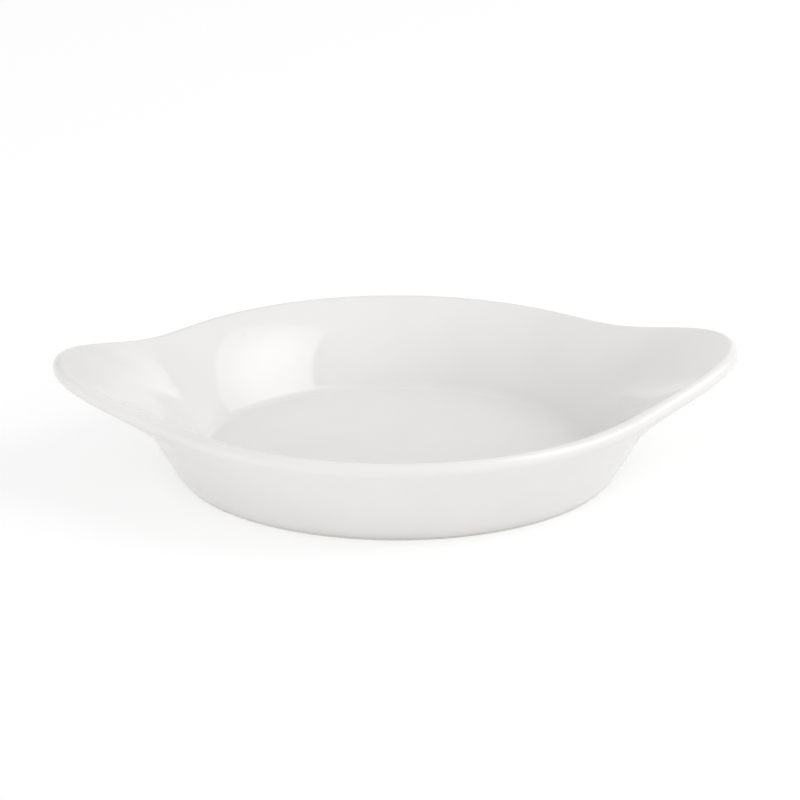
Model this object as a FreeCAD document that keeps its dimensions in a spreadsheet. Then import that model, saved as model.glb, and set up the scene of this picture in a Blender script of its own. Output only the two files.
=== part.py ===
import FreeCAD, Part
import math
import os
import Sketcher

# A round gratin dish with two rising ears: a pressed porcelain body, fired in one piece, under a coat of
# glaze that covers everything but the foot ring. +Z is up, the dish stands on Z = 0, the origin is the
# middle of the foot and the ears point along X. The sizes are those of the bare body; the glaze adds its
# own thickness. Lengths are in millimetres and slopes in degrees above the table.

SIZES = [
    ("rim_diameter", 152.0, "outside of the lip, between the ears"),
    ("rim_height", 26.5, "top of the lip, between the ears"),
    ("lip_thickness", 3.8, "wall at the lip, which is fully rounded"),
    ("side_slope", 54.0, "outside wall at the lip, between the ears"),
    ("ear_reach", 19.7, "how far an ear's tip stands out from the rim"),
    ("ear_rise", 7.4, "how far an ear's tip stands above the rim"),
    ("ear_slope", 12.0, "ear at its tip"),
    ("ear_spread", 20.8, "angle off an ear's axis where its reach has fallen to 1/e"),
    ("ear_fullness", 2.2, "power of that fall: a larger one squares the ear's shoulders"),
    ("wall_splay", 15.0, "how far the lip stands out from the foot ring"),
    ("wall_slope", 59.5, "outside wall, which is a plain cone up to where it flares"),
    ("flare_drop", 12.0, "where the outside wall starts to flare, below the rim"),
    ("heel_overhang", 2.4, "how far the heel stands out from the foot ring"),
    ("heel_height", 4.0, "top of the heel's round"),
    ("heel_slope", 45.0, "heel where it leaves the foot ring"),
    ("foot_height", 0.9, "bare outer side of the foot ring"),
    ("foot_edge", 0.6, "rounded outer edge of the foot ring"),
    ("foot_ring_width", 3.0, "flat of the foot ring that stands on the table"),
    ("recess_depth", 1.2, "hollow of the underside inside the foot ring"),
    ("recess_round", 0.5, "rounds where the foot ring meets the hollow"),
    ("floor_height", 4.7, "floor of the well above the table"),
    ("floor_inset", 8.6, "edge of the flat floor inside the outline of the foot ring"),
    ("corner_radius", 4.0, "round between the floor and the wall of the well"),
    ("well_slope", 57.0, "wall of the well, a plain cone up to where it flares"),
    ("well_flare_share", 0.22417, "where the well's wall starts to flare, between its corner and the rim"),
    ("well_lip_slope", 33.5, "wall of the well at the lip, between the ears"),
    ("glaze_thickness", 0.3, "coat of glaze"),
    ("bare_margin", 1.2, "unglazed edge of the hollow, beside the foot ring"),
]

HALF_SECTIONS = 96  # half sections round the dish that the curved faces pass through
QUARTERS = [(quarter * HALF_SECTIONS / 4, (quarter + 1) * HALF_SECTIONS / 4) for quarter in range(4)]
CUBIC = 3
AXIS = FreeCAD.Vector(0, 0, 1)
CENTRE = FreeCAD.Vector(0, 0, 0)

doc = FreeCAD.newDocument("gratin_dish")
sheet = doc.addObject("Spreadsheet::Sheet", "Sizes")
for row, (alias, value, note) in enumerate(SIZES, start=1):
    sheet.set(f"A{row}", note)
    sheet.set(f"B{row}", str(value))
    sheet.setAlias(f"B{row}", alias)
doc.recompute()

lip_radius = sheet.lip_thickness / 2
rim_radius = sheet.rim_diameter / 2
foot_radius = rim_radius - sheet.wall_splay


def heading(slope):
    """Unit vector in the plane of a half section."""
    return FreeCAD.Vector(math.cos(slope), 0, math.sin(slope))


def up_slope(place, slope, height):
    """The point at a height on the straight line up a slope from a place."""
    return place + heading(slope) * ((height - place.z) / math.sin(slope))


def ear_weight(angle):
    """1 on the axis of an ear, falling smoothly to 0 along the sides of the dish."""
    off_axis = abs(math.remainder(angle, math.pi))
    return math.exp(-((off_axis / math.radians(sheet.ear_spread)) ** sheet.ear_fullness))


def handle_share(turn):
    """A cubic span's handles as a share of its chord, for a span that turns like a circular arc."""
    return 1 / (3 * math.cos(turn / 4) ** 2)


def chain(stations, coat):
    """Control points of cubic spans through stations, each a place and a slope, under a coat."""
    coated = [(place - heading(slope + math.pi / 2) * coat, slope) for place, slope in stations]
    points = [coated[0][0]]
    for (here, leaving), (there, arriving) in zip(coated, coated[1:]):
        handle = here.distanceToPoint(there) * handle_share(arriving - leaving)
        points += [here + heading(leaving) * handle, there - heading(arriving) * handle, there]
    return points


def foot_stations():
    """The bare side of the foot ring, from its rounded edge on the table up to the heel."""
    edge = FreeCAD.Vector(foot_radius - sheet.foot_edge, 0, 0)
    top = FreeCAD.Vector(foot_radius, 0, sheet.foot_height)
    return [(edge, 0.0), (top, math.pi / 2)]


def wall_stations(angle):
    """The half section at one angle: heel, outside wall, over the lip, and down the well to its floor."""
    ear = ear_weight(angle)
    outer_slope = math.radians(sheet.side_slope + ear * (sheet.ear_slope - sheet.side_slope))
    inner_slope = math.radians(sheet.well_lip_slope + ear * (sheet.ear_slope - sheet.well_lip_slope))
    lip_out = rim_radius - lip_radius + ear * sheet.ear_reach
    lip_up = sheet.rim_height - lip_radius + ear * sheet.ear_rise
    lip_middle = FreeCAD.Vector(lip_out, 0, lip_up)

    heel_slope = math.radians(sheet.heel_slope)
    foot_top = FreeCAD.Vector(foot_radius, 0, sheet.foot_height)
    wall_slope = math.radians(sheet.wall_slope)
    heel_top = FreeCAD.Vector(foot_radius + sheet.heel_overhang, 0, sheet.heel_height)
    flare = up_slope(heel_top, wall_slope, sheet.rim_height - sheet.flare_drop)

    well_slope = math.radians(sheet.well_slope)
    floor_edge = FreeCAD.Vector(foot_radius - sheet.floor_inset, 0, sheet.floor_height)
    corner_middle = floor_edge + AXIS * sheet.corner_radius
    corner_top = corner_middle + heading(well_slope - math.pi / 2) * sheet.corner_radius
    cone_rise = (sheet.rim_height - corner_top.z) * sheet.well_flare_share
    well_flare = up_slope(corner_top, well_slope, corner_top.z + cone_rise)

    rising = [(foot_top, heel_slope), (heel_top, wall_slope), (flare, wall_slope)]
    slopes = [outer_slope, (outer_slope + inner_slope + math.pi) / 2, inner_slope + math.pi]
    lip = [(lip_middle + heading(slope - math.pi / 2) * lip_radius, slope) for slope in slopes]
    downhill = math.pi + well_slope
    falling = [(well_flare, downhill), (corner_top, downhill), (floor_edge, math.pi)]
    return rising + lip + falling


def closed_curve(points):
    """A smooth closed curve round the dish, within a hundredth of a millimetre of evenly spaced points.

    Each pole stands out from its point by a sixth of the bend there, which a cubic curve takes back."""
    leading = points[-1:] + points[:-1]
    following = points[1:] + points[:1]
    poles = []
    for before, point, after in zip(leading, points, following):
        poles.append(point * 4 / 3 - (before + after) / 6)
    knots = range(len(poles) + 1)
    curve = Part.BSplineCurve()
    curve.buildFromPolesMultsKnots(poles, (1,) * len(knots), knots, True, CUBIC)
    return curve


def rails(half_section):
    """Closed curves round the dish, one for each control point of the half sections."""
    rows = []
    for index in range(HALF_SECTIONS):
        angle = 2 * math.pi * (index - 1) / HALF_SECTIONS  # a closed curve starts at its second pole
        turn = FreeCAD.Rotation(AXIS, math.degrees(angle))
        rows.append([turn.multVec(point) for point in half_section(angle)])
    return [closed_curve(points) for points in zip(*rows)]


def skin(curves):
    """Smooth faces, in quarters of the way round, for each cubic span between the rails."""
    faces = []
    for first in range(0, len(curves) - 1, CUBIC):
        span = curves[first : first + CUBIC + 1]
        poles = list(zip(*(curve.getPoles() for curve in span)))
        surface = Part.BSplineSurface()
        surface.buildFromPolesMultsKnots(
            poles, span[0].getMultiplicities(), (CUBIC + 1, CUBIC + 1),
            span[0].getKnots(), (0.0, 1.0), True, False, CUBIC, CUBIC)
        for start, end in QUARTERS:
            patch = surface.copy()
            patch.segment(start, end, 0.0, 1.0)
            faces.append(patch.toShape())
    return faces


def disc(curve):
    """The flat face inside a level rail."""
    return Part.Face(Part.Wire([curve.toShape(start, end) for start, end in QUARTERS]))


def closed_form(name, faces):
    """A solid inside faces that meet edge to edge."""
    solid = Part.Solid(Part.Shell(faces))
    if solid.Volume < 0:
        solid.reverse()
    form = doc.addObject("Part::Feature", name)
    form.Shape = solid
    form.Placement = FreeCAD.Placement()
    return form


def bare_form():
    """The pressed body before its underside is hollowed."""
    foot = rails(lambda angle: chain(foot_stations(), 0))
    wall = rails(lambda angle: chain(wall_stations(angle), 0))
    return closed_form("bare_form", [disc(foot[0])] + skin(foot) + skin(wall) + [disc(wall[-1])])


def coated_form():
    """The outside of the glaze, closed underneath at the line where the glaze stops."""
    wall = rails(lambda angle: chain(wall_stations(angle), sheet.glaze_thickness))
    return closed_form("coated_form", [disc(wall[0])] + skin(wall) + [disc(wall[-1])])


def circle_sketch(body, name, radius):
    """A circle about the dish's axis, level with the table, whose radius is an expression."""
    sketch = body.newObject("Sketcher::SketchObject", name)
    level = next(feature for feature in body.Origin.OriginFeatures if feature.Role == "XY_Plane")
    sketch.AttachmentSupport = [(level, "")]
    sketch.MapMode = "FlatFace"
    sketch.addGeometry(Part.Circle(CENTRE, AXIS, 1))
    sketch.addConstraint(Sketcher.Constraint("Coincident", 0, 3, -1, 1))
    sketch.addConstraint(Sketcher.Constraint("Radius", 0, 1))
    sketch.renameConstraint(1, "radius")
    sketch.setExpression("Constraints.radius", radius)
    return sketch


FOOT_EXPRESSION = "Sizes.rim_diameter / 2 - Sizes.wall_splay - Sizes.foot_edge"
RECESS_EXPRESSION = FOOT_EXPRESSION + " - Sizes.foot_ring_width"


def porcelain_body(blank):
    """The fired body: the pressed form with its underside hollowed, which leaves the foot ring."""
    body = doc.addObject("PartDesign::Body", "porcelain_body")
    body.BaseFeature = blank
    recess = body.newObject("PartDesign::Pocket", "underside_recess")
    recess.Profile = circle_sketch(body, "recess_outline", RECESS_EXPRESSION)
    recess.Reversed = True
    recess.setExpression("Length", "Sizes.recess_depth")
    doc.recompute()
    edges = enumerate(recess.Shape.Edges, start=1)
    rims = [f"Edge{number}" for number, edge in edges if isinstance(edge.Curve, Part.Circle)]
    rounds = body.newObject("PartDesign::Fillet", "recess_rounds")
    rounds.Base = (recess, rims)
    rounds.setExpression("Radius", "Sizes.recess_round")
    return body


def glaze_coat(outside, inside):
    """The main coat: what lies between its own outside and the fired body."""
    coat = doc.addObject("Part::Cut", "glaze_coat")
    coat.Base = outside
    coat.Tool = inside
    return coat


def underside_glaze():
    """The panel of glaze on the hollow of the underside, short of the bare foot ring."""
    body = doc.addObject("PartDesign::Body", "underside_glaze")
    outline = circle_sketch(body, "panel_outline", RECESS_EXPRESSION + " - Sizes.bare_margin")
    outline.setExpression("AttachmentOffset.Base.z", "Sizes.recess_depth")
    panel = body.newObject("PartDesign::Pad", "panel")
    panel.Profile = outline
    panel.Reversed = True
    panel.setExpression("Length", "Sizes.glaze_thickness")
    return body


blank = bare_form()
pieces = [porcelain_body(blank), glaze_coat(coated_form(), blank), underside_glaze()]
doc.recompute()

for item in doc.Objects:
    if "Invalid" in item.State or "Error" in item.State:
        raise RuntimeError(f"{item.Label} did not build: {item.State}")
if not pieces[0].Shape.Volume < blank.Shape.Volume:
    raise RuntimeError("the hollow of the underside took nothing away")
for piece in pieces:
    if piece.Shape.isNull() or not piece.Shape.isValid() or len(piece.Shape.Solids) != 1:
        raise RuntimeError(f"{piece.Label} is not one valid solid")

os.makedirs("parts", exist_ok=True)
for piece in pieces:
    piece.Shape.exportStep(f"parts/{piece.Label}.step")
    print(piece.Label, f"{piece.Shape.Volume:.1f} mm3")
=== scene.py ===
import math

import bpy
from mathutils import Euler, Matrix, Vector


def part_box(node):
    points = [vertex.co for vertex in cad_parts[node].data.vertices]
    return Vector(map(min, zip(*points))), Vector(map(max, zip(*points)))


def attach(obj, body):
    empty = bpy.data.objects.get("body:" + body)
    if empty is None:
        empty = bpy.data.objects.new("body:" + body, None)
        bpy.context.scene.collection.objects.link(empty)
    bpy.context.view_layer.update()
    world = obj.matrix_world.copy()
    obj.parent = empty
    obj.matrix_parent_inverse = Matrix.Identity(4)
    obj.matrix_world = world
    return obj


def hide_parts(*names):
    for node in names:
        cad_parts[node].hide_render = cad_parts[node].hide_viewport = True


# A white porcelain gratin dish: a round well with a rising ear at each side, glazed all over but for the
# foot ring. Metres, +Z up, the dish stands on Z = 0 and its ears point along X. The half section that is
# turned round the dish is the one the solids follow.

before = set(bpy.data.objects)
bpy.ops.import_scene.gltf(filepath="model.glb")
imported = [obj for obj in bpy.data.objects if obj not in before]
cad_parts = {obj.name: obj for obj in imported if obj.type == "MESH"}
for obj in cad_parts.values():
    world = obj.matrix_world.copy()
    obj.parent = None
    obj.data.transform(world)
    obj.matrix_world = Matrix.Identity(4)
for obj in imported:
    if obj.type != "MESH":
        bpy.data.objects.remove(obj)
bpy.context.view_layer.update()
BODY_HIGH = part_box("porcelain_body")[1]
PANEL_LOW, PANEL_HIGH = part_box("underside_glaze")

MM = 0.001

# Sizes of the fired body, before the glaze
RIM_RADIUS = BODY_HIGH.y
RIM_HEIGHT = 26.5 * MM
LIP_RADIUS = 1.9 * MM
SIDE_SLOPE = math.radians(54.0)
EAR_REACH = BODY_HIGH.x - RIM_RADIUS
EAR_RISE = BODY_HIGH.z - RIM_HEIGHT
EAR_SLOPE = math.radians(12.0)
EAR_SPREAD = math.radians(20.8)
EAR_FULLNESS = 2.2
WALL_SPLAY = 15.0 * MM
FOOT_RADIUS = RIM_RADIUS - WALL_SPLAY
FOOT_HEIGHT = 0.9 * MM
FOOT_EDGE = 0.6 * MM
HEEL_OVERHANG = 2.4 * MM
HEEL_HEIGHT = 4.0 * MM
HEEL_SLOPE = math.radians(45.0)
WALL_SLOPE = math.radians(59.5)
FLARE_DROP = 12.0 * MM
FLARE_HEIGHT = RIM_HEIGHT - FLARE_DROP
FLOOR_HEIGHT = 4.7 * MM
FLOOR_INSET = 8.6 * MM
FLOOR_RADIUS = FOOT_RADIUS - FLOOR_INSET
CORNER_RADIUS = 4.0 * MM
WELL_SLOPE = math.radians(57.0)
WELL_FLARE_DROP = 15.5 * MM
WELL_FLARE_HEIGHT = RIM_HEIGHT - WELL_FLARE_DROP
WELL_LIP_SLOPE = math.radians(33.5)
RECESS_DEPTH = PANEL_HIGH.z
RECESS_ROUND = 0.5 * MM
BARE_MARGIN = 1.2 * MM
RECESS_RADIUS = PANEL_HIGH.x + BARE_MARGIN
GLAZE_THICKNESS = PANEL_HIGH.z - PANEL_LOW.z

# How finely the skins are drawn
HALF_SECTIONS = 240
LIP_STATIONS = 5
COAT_RINGS_PER_SPAN = 18
HIDDEN_RINGS_PER_SPAN = 6
JOIN_DISTANCE = MM / 1000

# The photograph's camera: where it stands from the middle of the foot, and where that falls in the picture
IMAGE_SIDE = 800
FOCAL_PIXELS = 5000
FOOT_PIXEL = (396.83, 465.68)
CAMERA_DISTANCE = 1.4086
CAMERA_AZIMUTH = math.radians(-5.16)
CAMERA_ELEVATION = math.radians(19.48)
SENSOR_WIDTH = 36.0
CAMERA_SIGHT = 20

# Patterns of the glaze and of the bare body: from crest to crest, and how high they stand
DRIFT_WIDTH = 22 * MM
SPECK_SPACING = 12 * MM
SPECK_RADIUS = 0.3 * MM
SPECK_CORE_RADIUS = 0.15 * MM
CLOUD_WIDTH = 9 * MM
RIPPLE_WIDTH = 8 * MM
RIPPLE_HEIGHT = 0.015 * MM
BLUSH_WIDTH = 14 * MM
RUB_WIDTH = 2.5 * MM
GRIT_WIDTH = 0.5 * MM
GRIT_HEIGHT = 0.06 * MM
GLAZE_IOR = 1.52
BISCUIT_IOR = 1.5

# The studio
WHITE = "#FFFFFF"
FLOOR_PAPER = "#F8F8F8"
FLOOR_SHADE = "#A6A6A6"
FLOOR_GLOW = 0.655
FLOOR_HALF = 3.0


def add(tree, kind, inputs=None, **settings):
    """Adds one node: its settings, and for each input a value or the output that feeds it."""
    node = tree.nodes.new(kind)
    for name, value in settings.items():
        setattr(node, name, value)
    for socket, value in (inputs or {}).items():
        if isinstance(value, bpy.types.NodeSocket):
            tree.links.new(value, node.inputs[socket])
        else:
            node.inputs[socket].default_value = value
    return node


def linear(code):
    """A linear colour from an sRGB hex code."""
    channels = [int(code[place : place + 2], 16) / 255 for place in (1, 3, 5)]
    return [c / 12.92 if c <= 0.04045 else ((c + 0.055) / 1.055) ** 2.4 for c in channels] + [1.0]


# Half sections

def heading(slope):
    """Unit vector in the plane of a half section."""
    return Vector((math.cos(slope), 0, math.sin(slope)))


def up_slope(place, slope, height):
    """The point at a height on the straight line up a slope from a place."""
    return place + heading(slope) * ((height - place.z) / math.sin(slope))


LIP_MIDDLE = Vector((RIM_RADIUS - LIP_RADIUS, 0, RIM_HEIGHT - LIP_RADIUS))
FOOT_TOP = Vector((FOOT_RADIUS, 0, FOOT_HEIGHT))
LEVEL_IN = math.pi


def upper_stations():
    """Stations from the glaze line up the wall, over the lip and down the well to its middle.

    Each has a place, a slope and how much glaze collected there before the firing, which also sets its
    tone: 1, greyer, where it pools and where painted shade falls, at the foot and in the corner of the
    well; -1, whiter, where it ran thin over the lip, which is painted light on that edge. Those of the lip
    also have a share in the ears, and how far they lean over at the tip of an ear."""
    heel_top = Vector((FOOT_RADIUS + HEEL_OVERHANG, 0, HEEL_HEIGHT))
    flare = up_slope(heel_top, WALL_SLOPE, FLARE_HEIGHT)
    floor_edge = Vector((FLOOR_RADIUS, 0, FLOOR_HEIGHT))
    corner_middle = floor_edge + Vector((0, 0, CORNER_RADIUS))
    corner_top = corner_middle + heading(WELL_SLOPE - math.pi / 2) * CORNER_RADIUS
    well_flare = up_slope(corner_top, WELL_SLOPE, WELL_FLARE_HEIGHT)
    downhill = math.pi + WELL_SLOPE
    # Third numbers: greyer glaze at the foot and in the corner of the well, also painted shade there;
    # whiter over the lip, also painted light on that edge
    rising = [(FOOT_TOP, HEEL_SLOPE, 0.2), (heel_top, WALL_SLOPE), (flare, WALL_SLOPE)]
    lip_turn = WELL_LIP_SLOPE + math.pi - SIDE_SLOPE
    shares = [number / (LIP_STATIONS - 1) for number in range(LIP_STATIONS)]
    slopes = [SIDE_SLOPE + lip_turn * share for share in shares]
    slopes_at_ear = [EAR_SLOPE + math.pi * share for share in shares]
    lip = [(LIP_MIDDLE + heading(slope - math.pi / 2) * LIP_RADIUS, slope, -0.2, 1, at_ear - slope)
           for slope, at_ear in zip(slopes, slopes_at_ear)]
    falling = [(well_flare, downhill), (corner_top, downhill, 0.3), (floor_edge, LEVEL_IN, 0.2)]
    return rising + lip + falling + [(Vector((0, 0, FLOOR_HEIGHT)), LEVEL_IN)]


def foot_stations():
    """Places and slopes of the underside, from its middle out to the foot ring and round its edge."""
    down = -math.pi / 2
    return [
        (Vector((0, 0, RECESS_DEPTH)), 0),
        (Vector((RECESS_RADIUS - RECESS_ROUND, 0, RECESS_DEPTH)), 0),
        (Vector((RECESS_RADIUS, 0, RECESS_DEPTH - RECESS_ROUND)), down),
        (Vector((RECESS_RADIUS, 0, RECESS_ROUND)), down),
        (Vector((RECESS_RADIUS + RECESS_ROUND, 0, 0)), 0),
        (Vector((FOOT_RADIUS - FOOT_EDGE, 0, 0)), 0),
        (FOOT_TOP, math.pi / 2),
    ]


def panel_stations():
    """Stations of the glaze on the underside: flat, with an edge that the firing rounded."""
    edge = PANEL_HIGH.x - GLAZE_THICKNESS
    return [
        (Vector((0, 0, PANEL_LOW.z)), 0),
        (Vector((edge, 0, PANEL_LOW.z)), 0, 0.7),
        (Vector((PANEL_HIGH.x, 0, PANEL_HIGH.z)), math.pi / 2, 0.7),
        (Vector((PANEL_HIGH.x, 0, PANEL_HIGH.z)), LEVEL_IN),
        (Vector((0, 0, PANEL_HIGH.z)), LEVEL_IN),
    ]


# The rule that turns a half section round the dish

def turned_skin_tree():
    """Nodes that carry a half section round the dish and lift its lip into the ears.

    Each span between two stations is a cubic curve that leaves and arrives along their slopes, with
    handles as long as those of a circular arc that turns as much."""
    tree = bpy.data.node_groups.new("turned_skin", "GeometryNodeTree")
    face = tree.interface
    face.new_socket("Stations", in_out="INPUT", socket_type="NodeSocketGeometry")
    for name in ("Half Sections", "Rings per Span"):
        face.new_socket(name, in_out="INPUT", socket_type="NodeSocketInt")
    for name in ("Ear Reach", "Ear Rise", "Ear Spread", "Ear Fullness", "Coat"):
        face.new_socket(name, in_out="INPUT", socket_type="NodeSocketFloat")
    face.new_socket("Lip Middle", in_out="INPUT", socket_type="NodeSocketVector")
    face.new_socket("Finish", in_out="INPUT", socket_type="NodeSocketMaterial")
    face.new_socket("Skin", in_out="OUTPUT", socket_type="NodeSocketGeometry")
    size = add(tree, "NodeGroupInput").outputs

    # One copy of the half section for each angle, all still in one plane
    line = add(tree, "GeometryNodeMeshToCurve", {"Mesh": size["Stations"]})
    copies = add(tree, "GeometryNodeDuplicateElements",
                 {"Geometry": line.outputs[0], "Amount": size["Half Sections"]}, domain="SPLINE")
    step = add(tree, "ShaderNodeMath", {0: 2 * math.pi, 1: size["Half Sections"]}, operation="DIVIDE")
    angle = add(tree, "ShaderNodeMath", {0: copies.outputs["Duplicate Index"], 1: step.outputs[0]},
                operation="MULTIPLY")

    # How much of the ear there is at that angle: 1 on its axis, falling smoothly to 0
    off_axis = add(tree, "ShaderNodeMath", {0: angle.outputs[0], 1: math.pi / 2}, operation="PINGPONG")
    spread = add(tree, "ShaderNodeMath", {0: off_axis.outputs[0], 1: size["Ear Spread"]},
                 operation="DIVIDE")
    fall = add(tree, "ShaderNodeMath", {0: spread.outputs[0], 1: size["Ear Fullness"]}, operation="POWER")
    fading = add(tree, "ShaderNodeMath", {0: fall.outputs[0], 1: -1.0}, operation="MULTIPLY")
    weight = add(tree, "ShaderNodeMath", {0: fading.outputs[0]}, operation="EXPONENT")
    lip = add(tree, "GeometryNodeInputNamedAttribute", {"Name": "lip"}, data_type="FLOAT")
    share = add(tree, "ShaderNodeMath", {0: weight.outputs[0], 1: lip.outputs[0]}, operation="MULTIPLY")

    # The lip leans over, moves out and rises by that share
    lean = add(tree, "GeometryNodeInputNamedAttribute", {"Name": "lean"}, data_type="FLOAT")
    turn = add(tree, "ShaderNodeMath", {0: weight.outputs[0], 1: lean.outputs[0]}, operation="MULTIPLY")
    plain = add(tree, "GeometryNodeInputNamedAttribute", {"Name": "slope"}, data_type="FLOAT")
    slope = add(tree, "ShaderNodeMath", {0: plain.outputs[0], 1: turn.outputs[0]}, operation="ADD")
    leaning = add(tree, "ShaderNodeVectorRotate", {
        "Vector": add(tree, "GeometryNodeInputPosition").outputs[0], "Center": size["Lip Middle"],
        "Axis": (0, -1, 0), "Angle": turn.outputs[0]}, rotation_type="AXIS_ANGLE")
    tip = add(tree, "ShaderNodeCombineXYZ", {"X": size["Ear Reach"], "Z": size["Ear Rise"]})
    moved = add(tree, "ShaderNodeVectorMath", {0: tip.outputs[0], "Scale": share.outputs[0]},
                operation="SCALE")
    lifted = add(tree, "ShaderNodeVectorMath", {0: leaning.outputs[0], 1: moved.outputs[0]},
                 operation="ADD")

    # The coat stands off square to the slope
    sine = add(tree, "ShaderNodeMath", {0: slope.outputs[0]}, operation="SINE")
    cosine = add(tree, "ShaderNodeMath", {0: slope.outputs[0]}, operation="COSINE")
    minus = add(tree, "ShaderNodeMath", {0: cosine.outputs[0], 1: -1.0}, operation="MULTIPLY")
    along = add(tree, "ShaderNodeCombineXYZ", {"X": cosine.outputs[0], "Z": sine.outputs[0]})
    out = add(tree, "ShaderNodeCombineXYZ", {"X": sine.outputs[0], "Z": minus.outputs[0]})
    coat = add(tree, "ShaderNodeVectorMath", {0: out.outputs[0], "Scale": size["Coat"]}, operation="SCALE")
    place = add(tree, "ShaderNodeVectorMath", {0: lifted.outputs[0], 1: coat.outputs[0]}, operation="ADD")
    smooth = add(tree, "GeometryNodeCurveSplineType", {"Curve": copies.outputs[0]}, spline_type="BEZIER")
    placed = add(tree, "GeometryNodeSetPosition",
                 {"Geometry": smooth.outputs[0], "Position": place.outputs[0]})

    # Handles: a third of the chord, and longer by the square of the cosine of a quarter of the turn
    here = add(tree, "GeometryNodeInputPosition")
    index = add(tree, "GeometryNodeInputIndex")
    after = add(tree, "ShaderNodeMath", {0: index.outputs[0], 1: 1.0}, operation="ADD")
    before = add(tree, "ShaderNodeMath", {0: index.outputs[0], 1: 1.0}, operation="SUBTRACT")
    next_place = add(tree, "GeometryNodeFieldAtIndex",
                     {"Index": after.outputs[0], "Value": here.outputs[0]}, data_type="FLOAT_VECTOR")
    next_slope = add(tree, "GeometryNodeFieldAtIndex",
                     {"Index": after.outputs[0], "Value": slope.outputs[0]}, data_type="FLOAT")
    chord = add(tree, "ShaderNodeVectorMath", {0: here.outputs[0], 1: next_place.outputs[0]},
                operation="DISTANCE")
    bend = add(tree, "ShaderNodeMath", {0: next_slope.outputs[0], 1: slope.outputs[0]},
               operation="SUBTRACT")
    quarter = add(tree, "ShaderNodeMath", {0: bend.outputs[0], 1: 4.0}, operation="DIVIDE")
    ease = add(tree, "ShaderNodeMath", {0: quarter.outputs[0]}, operation="COSINE")
    square = add(tree, "ShaderNodeMath", {0: ease.outputs[0], 1: 2.0}, operation="POWER")
    third = add(tree, "ShaderNodeMath", {0: chord.outputs["Value"], 1: 3.0}, operation="DIVIDE")
    handle = add(tree, "ShaderNodeMath", {0: third.outputs[0], 1: square.outputs[0]}, operation="DIVIDE")
    arrived = add(tree, "GeometryNodeFieldAtIndex",
                  {"Index": before.outputs[0], "Value": handle.outputs[0]}, data_type="FLOAT")
    back = add(tree, "ShaderNodeMath", {0: arrived.outputs[0], 1: -1.0}, operation="MULTIPLY")
    leaving = add(tree, "ShaderNodeVectorMath", {0: along.outputs[0], "Scale": handle.outputs[0]},
                  operation="SCALE")
    arriving = add(tree, "ShaderNodeVectorMath", {0: along.outputs[0], "Scale": back.outputs[0]},
                   operation="SCALE")
    right = add(tree, "GeometryNodeSetCurveHandlePositions",
                {"Curve": placed.outputs[0], "Position": here.outputs[0], "Offset": leaving.outputs[0]},
                mode="RIGHT")
    left = add(tree, "GeometryNodeSetCurveHandlePositions",
               {"Curve": right.outputs[0], "Position": here.outputs[0], "Offset": arriving.outputs[0]},
               mode="LEFT")
    fine = add(tree, "GeometryNodeSetSplineResolution",
               {"Geometry": left.outputs[0], "Resolution": size["Rings per Span"]})
    points = add(tree, "GeometryNodeCurveToPoints", {"Curve": fine.outputs[0]}, mode="EVALUATED")

    # A tube with a ring for each point of the half section takes their places, each turned by its angle
    count = add(tree, "GeometryNodeAttributeDomainSize", {"Geometry": size["Stations"]}, component="MESH")
    spans = add(tree, "ShaderNodeMath", {0: count.outputs["Edge Count"], 1: size["Rings per Span"]},
                operation="MULTIPLY")
    rings = add(tree, "ShaderNodeMath", {0: spans.outputs[0], 1: 1.0}, operation="ADD")
    tube = add(tree, "GeometryNodeMeshCylinder",
               {"Vertices": size["Half Sections"], "Side Segments": spans.outputs[0]}, fill_type="NONE")
    spin = add(tree, "ShaderNodeMath", {0: index.outputs[0], 1: size["Half Sections"]}, operation="MODULO")
    turns = add(tree, "ShaderNodeMath", {0: index.outputs[0], 1: size["Half Sections"]}, operation="DIVIDE")
    ring = add(tree, "ShaderNodeMath", {0: turns.outputs[0]}, operation="FLOOR")
    source = add(tree, "ShaderNodeMath",
                 {0: spin.outputs[0], 1: rings.outputs[0], 2: ring.outputs[0]}, operation="MULTIPLY_ADD")
    found = add(tree, "GeometryNodeSampleIndex",
                {"Geometry": points.outputs[0], "Value": here.outputs[0], "Index": source.outputs[0]},
                data_type="FLOAT_VECTOR", domain="POINT")
    swing = add(tree, "ShaderNodeMath", {0: spin.outputs[0], 1: step.outputs[0]}, operation="MULTIPLY")
    turned = add(tree, "ShaderNodeVectorRotate", {"Vector": found.outputs[0], "Angle": swing.outputs[0]},
                 rotation_type="Z_AXIS")
    shaped = add(tree, "GeometryNodeSetPosition",
                 {"Geometry": tube.outputs["Mesh"], "Position": turned.outputs[0]})
    # Each ring takes its station's glaze tone: greyer where glaze pools, which is also painted shade in the
    # hollows, and whiter over the lip, which is also painted light on that edge
    pool_and_shade = add(tree, "GeometryNodeInputNamedAttribute", {"Name": "pool_and_shade"}, data_type="FLOAT")
    pool_and_shade_found = add(tree, "GeometryNodeSampleIndex",
                   {"Geometry": points.outputs[0], "Value": pool_and_shade.outputs[0], "Index": source.outputs[0]},
                   data_type="FLOAT", domain="POINT")
    with_pool_and_shade = add(tree, "GeometryNodeStoreNamedAttribute",
                 {"Geometry": shaped.outputs[0], "Name": "pool_and_shade", "Value": pool_and_shade_found.outputs[0]},
                 data_type="FLOAT", domain="POINT")
    outward = add(tree, "GeometryNodeFlipFaces", {"Mesh": with_pool_and_shade.outputs[0]})
    closed = add(tree, "GeometryNodeMergeByDistance",
                 {"Geometry": outward.outputs[0], "Distance": JOIN_DISTANCE})
    soft = add(tree, "GeometryNodeSetShadeSmooth", {"Geometry": closed.outputs[0]})
    real = add(tree, "GeometryNodeRealizeInstances", {"Geometry": soft.outputs[0]})
    done = add(tree, "GeometryNodeSetMaterial", {"Geometry": real.outputs[0], "Material": size["Finish"]})
    add(tree, "NodeGroupOutput", {"Skin": done.outputs[0]})
    return tree


SKIN_TREE = turned_skin_tree()


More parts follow.
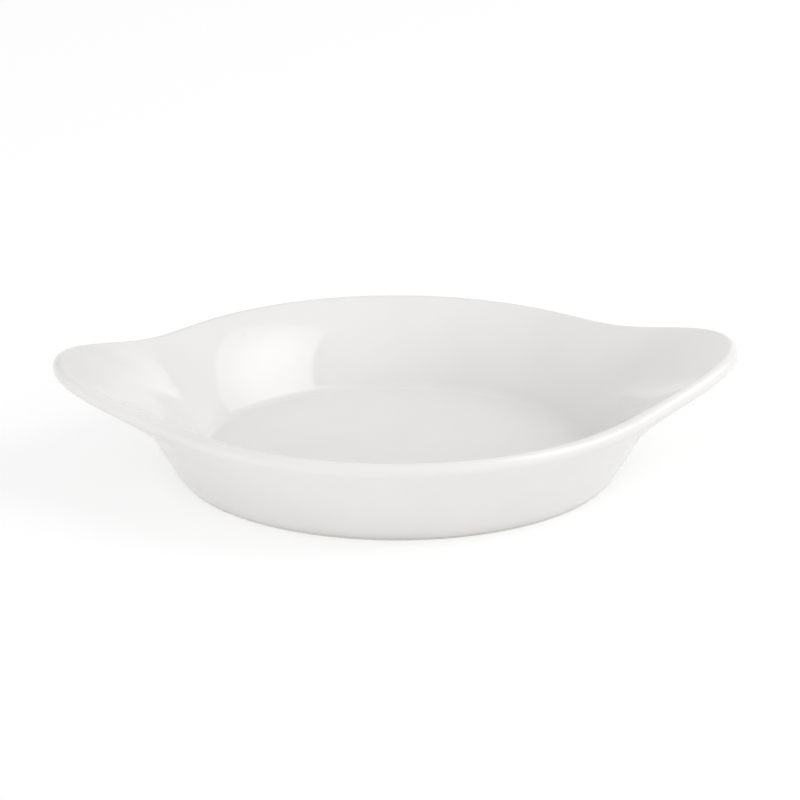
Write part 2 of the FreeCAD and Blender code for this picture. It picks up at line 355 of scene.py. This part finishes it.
def turned_piece(name, stations, coat, rings_per_span, finish, wall=0):
    """A piece whose half section passes some stations, as a plain mesh.

    A wall makes a shell of it, inwards."""
    mesh = bpy.data.meshes.new(name + "_stations")
    mesh.from_pydata([station[0] for station in stations],
                     [(number, number + 1) for number in range(len(stations) - 1)], [])
    whole = [(*station, 0, 0, 0) for station in stations]
    # The stations' numbers, one attribute each; the glaze tone among them is also painted shade and light
    for column, field in enumerate(("slope", "pool_and_shade", "lip", "lean"), 1):
        values = mesh.attributes.new(field, "FLOAT", "POINT")
        values.data.foreach_set("value", [float(station[column]) for station in whole])
    maker = bpy.data.objects.new(name + "_maker", mesh)
    bpy.context.scene.collection.objects.link(maker)
    skin = maker.modifiers.new("skin", "NODES")
    skin.node_group = SKIN_TREE
    sizes = {
        "Half Sections": HALF_SECTIONS, "Rings per Span": rings_per_span, "Coat": coat,
        "Ear Reach": EAR_REACH, "Ear Rise": EAR_RISE, "Ear Spread": EAR_SPREAD,
        "Ear Fullness": EAR_FULLNESS, "Lip Middle": LIP_MIDDLE, "Finish": finish,
    }
    for socket in SKIN_TREE.interface.items_tree:
        if socket.name in sizes:
            skin[socket.identifier] = sizes[socket.name]
    if wall:
        shell = maker.modifiers.new("shell", "SOLIDIFY")
        shell.thickness = wall
        shell.offset = -1
    evaluated = maker.evaluated_get(bpy.context.evaluated_depsgraph_get())
    piece = bpy.data.objects.new(name, bpy.data.meshes.new_from_object(evaluated))
    bpy.context.scene.collection.objects.link(piece)
    bpy.data.objects.remove(maker)
    return piece


# Finishes

def glazed_porcelain():
    """Vitrified porcelain, pressed and fired, coated in clear glaze by dipping and fired again.

    It gives the eye a clean, faintly warm white and sharp reflections that waver a little, because the
    glaze set with a slight ripple. It is painted a little greyer where the glaze gathers, at the foot and
    in the corner of the well, which is also painted shade in those hollows, and a purer white where it ran
    thin over the lip, which is also painted light on that edge. A few specks of iron show through."""
    material = bpy.data.materials.new("glazed_porcelain")
    material.use_nodes = True
    tree = material.node_tree
    shader = tree.nodes["Principled BSDF"]
    shader.inputs["IOR"].default_value = GLAZE_IOR
    place = add(tree, "ShaderNodeTexCoord").outputs["Object"]

    # How thick the glaze lies, from thin to pooled, unsettled by drifts as wide as a thumb; its pooled grey
    # is also painted shade in the well's corner and at the foot, its thin white painted light on the lip
    pool_and_shade = add(tree, "ShaderNodeAttribute", attribute_name="pool_and_shade")
    drift = add(tree, "ShaderNodeTexNoise", {"Vector": place, "Scale": 1 / DRIFT_WIDTH, "Detail": 2})
    uneven = add(tree, "ShaderNodeMapRange", {
        "Value": drift.outputs["Fac"], "From Min": 0.3, "From Max": 0.7, "To Min": -0.3, "To Max": 0.3})
    glaze_and_shade_depth = add(tree, "ShaderNodeMath", {0: pool_and_shade.outputs["Fac"], 1: uneven.outputs[0]}, operation="ADD")
    share = add(tree, "ShaderNodeMapRange", {"Value": glaze_and_shade_depth.outputs[0], "From Min": -1, "From Max": 1})
    white = add(tree, "ShaderNodeValToRGB", {"Fac": share.outputs[0]})
    white.color_ramp.elements.new(0.5)
    for stop, tone in zip(white.color_ramp.elements, ("#EFEEEC", "#EBEAE8", "#E7E6E3")):
        stop.color = linear(tone)

    # Iron specks: points scattered through the body show only where one lies close under the glaze
    specks = add(tree, "ShaderNodeTexVoronoi", {"Vector": place, "Scale": 1 / SPECK_SPACING})
    speck = add(tree, "ShaderNodeMapRange", {
        "Value": specks.outputs["Distance"], "From Min": SPECK_RADIUS / SPECK_SPACING,
        "From Max": SPECK_CORE_RADIUS / SPECK_SPACING, "To Max": 0.4})
    colour = add(tree, "ShaderNodeMix", {
        "Factor": speck.outputs[0], "A": white.outputs["Color"], "B": linear("#8C8578")}, data_type="RGBA")
    tree.links.new(colour.outputs["Result"], shader.inputs["Base Color"])

    # Gloss: a little duller in cloudy patches, from washing and stacking
    cloud = add(tree, "ShaderNodeTexNoise", {"Vector": place, "Scale": 1 / CLOUD_WIDTH, "Detail": 3})
    gloss = add(tree, "ShaderNodeMapRange", {
        "Value": cloud.outputs["Fac"], "From Min": 0.3, "From Max": 0.7, "To Min": 0.02, "To Max": 0.05})

    # At a grazing look the reflection spreads a little: light that skims the hollow side of the lip else
    # bounces along it until the renderer gives it up, and leaves a dark line
    skim = add(tree, "ShaderNodeLayerWeight", {"Blend": 0.5})
    spread = add(tree, "ShaderNodeMapRange", {
        "Value": skim.outputs["Facing"], "From Min": 0.7, "From Max": 1.0, "To Min": 0.0, "To Max": 0.15})
    edge_gloss = add(tree, "ShaderNodeMath", {0: gloss.outputs[0], 1: spread.outputs[0]}, operation="ADD")
    tree.links.new(edge_gloss.outputs[0], shader.inputs["Roughness"])

    # Ripple of the set glaze
    ripple = add(tree, "ShaderNodeTexNoise", {"Vector": place, "Scale": 1 / RIPPLE_WIDTH, "Detail": 1})
    bump = add(tree, "ShaderNodeBump", {"Height": ripple.outputs["Fac"], "Distance": RIPPLE_HEIGHT})
    tree.links.new(bump.outputs[0], shader.inputs["Normal"])
    return material


def bare_porcelain():
    """Fired porcelain body wiped free of glaze, as on a foot ring: matt, fine sandy and off-white.

    It gives the eye a dry pale line under the gloss, with grey rubs where it has slid on shelves and a
    warmer blush that the kiln left in places."""
    material = bpy.data.materials.new("bare_porcelain")
    material.use_nodes = True
    tree = material.node_tree
    shader = tree.nodes["Principled BSDF"]
    shader.inputs["IOR"].default_value = BISCUIT_IOR
    place = add(tree, "ShaderNodeTexCoord").outputs["Object"]
    blush = add(tree, "ShaderNodeTexNoise", {"Vector": place, "Scale": 1 / BLUSH_WIDTH, "Detail": 3})
    body = add(tree, "ShaderNodeValToRGB", {"Fac": blush.outputs["Fac"]})
    cool, warm = body.color_ramp.elements
    cool.position = 0.35
    cool.color = linear("#EBE9E4")
    warm.position = 0.7
    warm.color = linear("#E8E3D9")
    rub = add(tree, "ShaderNodeTexNoise", {"Vector": place, "Scale": 1 / RUB_WIDTH, "Detail": 4})
    worn = add(tree, "ShaderNodeMapRange", {
        "Value": rub.outputs["Fac"], "From Min": 0.58, "From Max": 0.7, "To Max": 0.55})
    colour = add(tree, "ShaderNodeMix", {
        "Factor": worn.outputs[0], "A": body.outputs["Color"], "B": linear("#C0BBB3")}, data_type="RGBA")
    tree.links.new(colour.outputs["Result"], shader.inputs["Base Color"])
    dry = add(tree, "ShaderNodeMapRange", {"Value": worn.outputs[0], "To Min": 0.8, "To Max": 0.55})
    tree.links.new(dry.outputs[0], shader.inputs["Roughness"])

    # The real grit is finer than a tenth of a millimetre, and is drawn coarser so that it shows
    grit = add(tree, "ShaderNodeTexNoise", {"Vector": place, "Scale": 1 / GRIT_WIDTH, "Detail": 2})
    bump = add(tree, "ShaderNodeBump", {"Height": grit.outputs["Fac"], "Distance": GRIT_HEIGHT})
    tree.links.new(bump.outputs[0], shader.inputs["Normal"])
    return material


GLAZE = glazed_porcelain()
BISCUIT = bare_porcelain()

body = turned_piece("fired_body", foot_stations() + upper_stations(), 0, HIDDEN_RINGS_PER_SPAN, BISCUIT)
coat = turned_piece("main_glaze", upper_stations(), GLAZE_THICKNESS, COAT_RINGS_PER_SPAN, GLAZE,
                    wall=GLAZE_THICKNESS)
panel = turned_piece("foot_glaze", panel_stations(), 0, HIDDEN_RINGS_PER_SPAN, GLAZE)
for piece, node, slot in (
    (body, "porcelain_body", "bare_porcelain"),
    (coat, "glaze_coat", "white_glaze"),
    (panel, "underside_glaze", "white_glaze"),
):
    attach(piece, "root")
    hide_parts(node)


# Studio

def seen_directly(tree):
    """1 for a look at a thing, straight, mirrored or through glass, and 0 for the light that it gives."""
    seen = add(tree, "ShaderNodeLightPath").outputs
    mirrored = add(tree, "ShaderNodeMath", {0: seen["Is Camera Ray"], 1: seen["Is Glossy Ray"]},
                   operation="MAXIMUM")
    any_way = add(tree, "ShaderNodeMath", {0: mirrored.outputs[0], 1: seen["Is Transmission Ray"]},
                  operation="MAXIMUM")
    return any_way.outputs[0]


def white_floor():
    """A wide white sheet under the dish: where it is seen, greyer but glowing, so that it looks white and
    keeps a soft shadow; for the light it gives, plain white paper."""
    mesh = bpy.data.meshes.new("floor")
    corners = [(x * FLOOR_HALF, y * FLOOR_HALF, 0) for x, y in ((-1, -1), (1, -1), (1, 1), (-1, 1))]
    mesh.from_pydata(corners, [], [(0, 1, 2, 3)])
    material = bpy.data.materials.new("white_sheet")
    material.use_nodes = True
    tree = material.node_tree
    tree.nodes.remove(tree.nodes["Principled BSDF"])
    paper = add(tree, "ShaderNodeBsdfDiffuse", {"Color": linear(FLOOR_PAPER)})
    shade = add(tree, "ShaderNodeBsdfDiffuse", {"Color": linear(FLOOR_SHADE)})
    glow = add(tree, "ShaderNodeEmission", {"Color": linear(WHITE), "Strength": FLOOR_GLOW})
    lit = add(tree, "ShaderNodeAddShader", {0: shade.outputs[0], 1: glow.outputs[0]})
    mix = add(tree, "ShaderNodeMixShader", {0: seen_directly(tree), 1: paper.outputs[0], 2: lit.outputs[0]})
    tree.links.new(mix.outputs[0], tree.nodes["Material Output"].inputs["Surface"])
    mesh.materials.append(material)
    floor = bpy.data.objects.new("floor", mesh)
    bpy.context.scene.collection.objects.link(floor)


def white_world():
    """A white room: where it is seen, white at the horizon and pale grey above; for the light it gives,
    dim walls under a brighter ceiling."""
    world = bpy.data.worlds.new("white_room")
    bpy.context.scene.world = world
    world.use_nodes = True
    tree = world.node_tree

    # Z of the way that is looked along: 0 at the horizon and 1 straight up
    way = add(tree, "ShaderNodeSeparateXYZ", {0: add(tree, "ShaderNodeTexCoord").outputs["Generated"]})
    level = add(tree, "ShaderNodeMapRange", {
        "Value": way.outputs["Z"], "From Min": 0.2, "From Max": 1.0, "To Min": 0.43, "To Max": 0.71})
    room = add(tree, "ShaderNodeBackground", {"Color": linear(WHITE), "Strength": level.outputs[0]})
    seen_level = add(tree, "ShaderNodeMapRange", {
        "Value": way.outputs["Z"], "From Min": 0.14, "From Max": 0.26, "To Min": 1.0, "To Max": 0.75})
    seen_room = add(tree, "ShaderNodeBackground",
                    {"Color": linear(WHITE), "Strength": seen_level.outputs[0]})
    mix = add(tree, "ShaderNodeMixShader",
              {0: seen_directly(tree), 1: room.outputs[0], 2: seen_room.outputs[0]})
    tree.links.new(mix.outputs[0], tree.nodes["World Output"].inputs["Surface"])


def softbox(name, place, aim, size, glow, hot_spot=(0, 0), fade=(1, 1), low=1.0, mirrored=True):
    """A flat lamp at a place that faces a point.

    Its glow, in times white, is full at a hot spot, given in metres from its middle, and fades across and
    up over some metres to a low share. One that is not mirrored lights the dish but leaves no highlight
    on it."""
    lamp = bpy.data.lights.new(name, "AREA")
    lamp.shape = "RECTANGLE"
    lamp.size, lamp.size_y = size
    lamp.energy = math.pi * lamp.size * lamp.size_y * glow
    lamp.use_nodes = True
    tree = lamp.node_tree
    share = add(tree, "ShaderNodeNewGeometry").outputs["Parametric"]
    spot = add(tree, "ShaderNodeVectorMath", {0: share, 1: (0.5, 0.5, 0)}, operation="SUBTRACT")
    metres = add(tree, "ShaderNodeVectorMath", {0: spot.outputs[0], 1: (*size, 0)}, operation="MULTIPLY")
    off = add(tree, "ShaderNodeVectorMath", {0: metres.outputs[0], 1: (*hot_spot, 0)}, operation="SUBTRACT")
    faded = add(tree, "ShaderNodeVectorMath", {0: off.outputs[0], 1: (*fade, 1)}, operation="DIVIDE")
    far = add(tree, "ShaderNodeVectorMath", {0: faded.outputs[0]}, operation="LENGTH")
    fall = add(tree, "ShaderNodeMapRange", {"Value": far.outputs["Value"], "To Min": 1, "To Max": low},
               interpolation_type="SMOOTHSTEP")
    tree.links.new(fall.outputs[0], tree.nodes["Emission"].inputs["Strength"])
    light = bpy.data.objects.new(name, lamp)
    light.location = place
    light.visible_glossy = mirrored
    light.rotation_mode = "QUATERNION"
    light.rotation_quaternion = (Vector(aim) - light.location).to_track_quat("-Z", "Y")
    bpy.context.scene.collection.objects.link(light)


def photo_camera():
    """The camera as it stood for the photograph."""
    lens = bpy.data.cameras.new("camera")
    lens.sensor_width = SENSOR_WIDTH
    lens.lens = SENSOR_WIDTH * FOCAL_PIXELS / IMAGE_SIDE
    lens.clip_end = CAMERA_SIGHT
    back = Vector((
        math.sin(CAMERA_AZIMUTH) * math.cos(CAMERA_ELEVATION),
        -math.cos(CAMERA_AZIMUTH) * math.cos(CAMERA_ELEVATION),
        math.sin(CAMERA_ELEVATION)))
    tilt = math.atan((FOOT_PIXEL[1] - IMAGE_SIDE / 2) / FOCAL_PIXELS)
    pan = math.atan((FOOT_PIXEL[0] - IMAGE_SIDE / 2) / FOCAL_PIXELS)
    camera = bpy.data.objects.new("camera", lens)
    camera.location = back * CAMERA_DISTANCE
    camera.rotation_mode = "QUATERNION"
    camera.rotation_quaternion = (-back).to_track_quat("-Z", "Y") @ Euler((tilt, pan, 0)).to_quaternion()
    bpy.context.scene.collection.objects.link(camera)
    bpy.context.scene.camera = camera


white_floor()
white_world()
softbox("side_scrim", place=(1.011, 0.051, 1.04), aim=(0.275, 0.476, 1.04), size=(1.3, 1.58), glow=2.93,
        hot_spot=(-0.268, -0.184), fade=(0.82, 1.1), low=0.28)
softbox("back_softbox", place=(0.625, 1.366, 0.653), aim=(0.163, 0.479, 0.653), size=(0.548, 0.964),
        glow=0.545, hot_spot=(-0.161, -0.11), fade=(0.55, 0.815), low=0.0)
softbox("front_fill", place=(-0.4, -1.6, 0.4), aim=(0, 0, 0.05), size=(2.4, 0.8), glow=1.45, mirrored=False)
softbox("left_fill", place=(-1.5, -0.3, 0.8), aim=(0, 0, 0), size=(2.0, 1.6), glow=0.55, mirrored=False)
photo_camera()
bpy.context.scene.view_settings.view_transform = "Standard"
